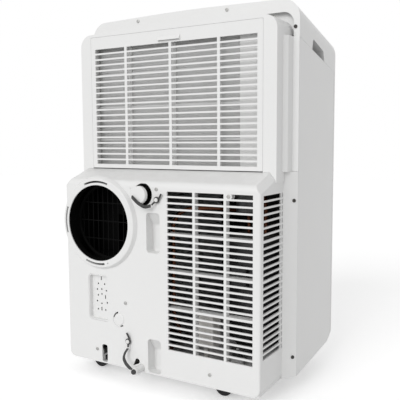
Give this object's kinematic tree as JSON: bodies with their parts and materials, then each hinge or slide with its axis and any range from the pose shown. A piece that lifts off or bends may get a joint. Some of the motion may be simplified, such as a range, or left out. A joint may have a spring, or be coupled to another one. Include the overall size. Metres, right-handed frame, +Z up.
{
  "type": "portable air conditioner",
  "caption": "Upright portable room air conditioner on casters, with louvred intake door, vented rear housing, round hose outlet, and a drain cap and a drain plug on straps.",
  "frame": {"origin": "centre of the footprint at floor level", "axes": "+Z up, front faces -Y, rear with the hose outlet faces +Y, +X is the unit's own left"},
  "size_m": [0.482, 0.3632, 0.7385],
  "materials": {
    "case_white": "satin moulded ABS",
    "guard_black": "matt",
    "filter_grey": "fine woven mesh",
    "vane_white": "satin",
    "panel_grey": "semi-gloss",
    "button_white": "satin",
    "display_dark": "smoked",
    "board_green": "solder mask",
    "strap_rubber": "matt",
    "stud_white": "satin",
    "screw_steel": "zinc plated",
    "caster_black": "satin",
    "fin_aluminium": "thin fins",
    "pipe_copper": "drawn copper",
    "fan_grey": "satin",
    "foam_white": "expanded polystyrene",
    "motor_steel": "galvanised",
    "compressor_black": "semi-gloss enamel",
    "can_aluminium": "drawn can",
    "box_pale": "plain"
  },
  "bodies": {
    "cabinet": {"rear_housing": "case_white", "rear_panel": "case_white", "side_panel_left": "case_white", "side_panel_right": "case_white", "front_panel": "case_white", "top_cover": "case_white", "exhaust_collar": "case_white", "plug_dock": "case_white", "blanking_plug": "case_white", "base_pan": "case_white", "handle_cups": "case_white", "duct_guard": "guard_black", "exhaust_scroll": "guard_black", "drain_port": "guard_black", "outlet_frame": "vane_white", "control_panel": "panel_grey", "display_window": "display_dark", "control_board": "board_green", "strap_eyes": "strap_rubber", "compressor_grommets": "strap_rubber", "strap_studs": "stud_white", "case_screws": "screw_steel", "evaporator_coil": "fin_aluminium", "condenser_coil": "fin_aluminium", "refrigerant_pipes": "pipe_copper", "drip_tray": "foam_white", "evaporator_scroll": "foam_white", "evaporator_motor": "motor_steel", "exhaust_motor": "motor_steel", "compressor": "compressor_black", "capacitor": "can_aluminium", "terminal_box": "box_pale"},
    "filter_door": {"filter_door": "case_white", "filter_frame": "case_white", "filter_mesh": "filter_grey"},
    "drain_cap": {"drain_cap": "case_white", "drain_cap_strap": "strap_rubber"},
    "drain_plug": {"drain_plug": "strap_rubber", "drain_plug_strap": "strap_rubber"},
    "louver_flap": {"louver_flap": "case_white"},
    "evaporator_fan": {"evaporator_fan": "fan_grey"},
    "exhaust_fan": {"exhaust_fan": "fan_grey"},
    "vane_1": {"vane_1": "vane_white"},
    "button_1": {"button_1": "button_white"},
    "vane_2": {"vane_2": "vane_white"},
    "button_2": {"button_2": "button_white"},
    "vane_3": {"vane_3": "vane_white"},
    "button_3": {"button_3": "button_white"},
    "vane_4": {"vane_4": "vane_white"},
    "button_4": {"button_4": "button_white"},
    "vane_5": {"vane_5": "vane_white"},
    "button_5": {"button_5": "button_white"},
    "caster_rear_left": {"caster_frame_rear_left": "caster_black"},
    "wheels_rear_left": {"caster_wheels_rear_left": "caster_black"},
    "caster_rear_right": {"caster_frame_rear_right": "caster_black"},
    "wheels_rear_right": {"caster_wheels_rear_right": "caster_black"},
    "caster_front_left": {"caster_frame_front_left": "caster_black"},
    "wheels_front_left": {"caster_wheels_front_left": "caster_black"},
    "caster_front_right": {"caster_frame_front_right": "caster_black"},
    "wheels_front_right": {"caster_wheels_front_right": "caster_black"}
  },
  "joints": [
    {"name": "filter_door_hinge", "type": "hinge", "parent": "cabinet", "child": "filter_door", "pos_m": [0, 0.093, 0.4286], "axis": [-1, 0, 0], "range_deg": [0, 75]},
    {"name": "louver_flap_hinge", "type": "hinge", "parent": "cabinet", "child": "louver_flap", "pos_m": [0, -0.178, 0.5068], "axis": [1, 0, 0], "range_deg": [0, 70]},
    {"name": "drain_cap_slide", "type": "slide", "parent": "cabinet", "child": "drain_cap", "axis": [0, 1, 0], "range_m": [0, 0.035]},
    {"name": "drain_plug_slide", "type": "slide", "parent": "cabinet", "child": "drain_plug", "axis": [0, 1, 0], "range_m": [0, 0.025]},
    {"name": "evaporator_fan_spin", "type": "hinge", "parent": "cabinet", "child": "evaporator_fan", "pos_m": [0, -0.072, 0.58], "axis": [1, 0, 0], "continuous": true},
    {"name": "exhaust_fan_spin", "type": "hinge", "parent": "cabinet", "child": "exhaust_fan", "pos_m": [0.113, -0.04, 0.226], "axis": [1, 0, 0], "continuous": true},
    {"name": "vane_1_pivot", "type": "hinge", "parent": "cabinet", "child": "vane_1", "pos_m": [-0.132, -0.1525, 0.5375], "axis": [0, 0, 1], "range_deg": [-35, 35]},
    {"name": "vane_2_pivot", "type": "hinge", "parent": "cabinet", "child": "vane_2", "pos_m": [-0.066, -0.1525, 0.5375], "axis": [0, 0, 1], "range_deg": [-35, 35]},
    {"name": "vane_3_pivot", "type": "hinge", "parent": "cabinet", "child": "vane_3", "pos_m": [0, -0.1525, 0.5375], "axis": [0, 0, 1], "range_deg": [-35, 35]},
    {"name": "vane_4_pivot", "type": "hinge", "parent": "cabinet", "child": "vane_4", "pos_m": [0.066, -0.1525, 0.5375], "axis": [0, 0, 1], "range_deg": [-35, 35]},
    {"name": "vane_5_pivot", "type": "hinge", "parent": "cabinet", "child": "vane_5", "pos_m": [0.132, -0.1525, 0.5375], "axis": [0, 0, 1], "range_deg": [-35, 35]},
    {"name": "button_1_press", "type": "slide", "parent": "cabinet", "child": "button_1", "axis": [0, 0.2368, -0.9715], "range_m": [0, 0.0012], "stiffness_N_per_m": 400},
    {"name": "button_2_press", "type": "slide", "parent": "cabinet", "child": "button_2", "axis": [0, 0.2368, -0.9715], "range_m": [0, 0.0012], "stiffness_N_per_m": 400},
    {"name": "button_3_press", "type": "slide", "parent": "cabinet", "child": "button_3", "axis": [0, 0.2368, -0.9715], "range_m": [0, 0.0012], "stiffness_N_per_m": 400},
    {"name": "button_4_press", "type": "slide", "parent": "cabinet", "child": "button_4", "axis": [0, 0.2368, -0.9715], "range_m": [0, 0.0012], "stiffness_N_per_m": 400},
    {"name": "button_5_press", "type": "slide", "parent": "cabinet", "child": "button_5", "axis": [0, 0.2368, -0.9715], "range_m": [0, 0.0012], "stiffness_N_per_m": 400},
    {"name": "caster_rear_left_swivel", "type": "hinge", "parent": "cabinet", "child": "caster_rear_left", "pos_m": [0.15, 0.10544, 0.042], "axis": [0, 0, 1], "continuous": true},
    {"name": "wheels_rear_left_spin", "type": "hinge", "parent": "caster_rear_left", "child": "wheels_rear_left", "pos_m": [0.174, 0.10544, 0.018], "axis": [0, 1, 0], "continuous": true},
    {"name": "caster_rear_right_swivel", "type": "hinge", "parent": "cabinet", "child": "caster_rear_right", "pos_m": [-0.15, 0.10544, 0.042], "axis": [0, 0, 1], "continuous": true},
    {"name": "wheels_rear_right_spin", "type": "hinge", "parent": "caster_rear_right", "child": "wheels_rear_right", "pos_m": [-0.126, 0.10544, 0.018], "axis": [0, 1, 0], "continuous": true},
    {"name": "caster_front_left_swivel", "type": "hinge", "parent": "cabinet", "child": "caster_front_left", "pos_m": [0.15, -0.125, 0.042], "axis": [0, 0, 1], "continuous": true},
    {"name": "wheels_front_left_spin", "type": "hinge", "parent": "caster_front_left", "child": "wheels_front_left", "pos_m": [0.174, -0.125, 0.018], "axis": [0, 1, 0], "continuous": true},
    {"name": "caster_front_right_swivel", "type": "hinge", "parent": "cabinet", "child": "caster_front_right", "pos_m": [-0.15, -0.125, 0.042], "axis": [0, 0, 1], "continuous": true},
    {"name": "wheels_front_right_spin", "type": "hinge", "parent": "caster_front_right", "child": "wheels_front_right", "pos_m": [-0.126, -0.125, 0.018], "axis": [0, 1, 0], "continuous": true}
  ],
  "couplings": [
    {"joint": "vane_2_pivot", "follows": "vane_1_pivot", "ratio": 1},
    {"joint": "vane_3_pivot", "follows": "vane_1_pivot", "ratio": 1},
    {"joint": "vane_4_pivot", "follows": "vane_1_pivot", "ratio": 1},
    {"joint": "vane_5_pivot", "follows": "vane_1_pivot", "ratio": 1}
  ]
}
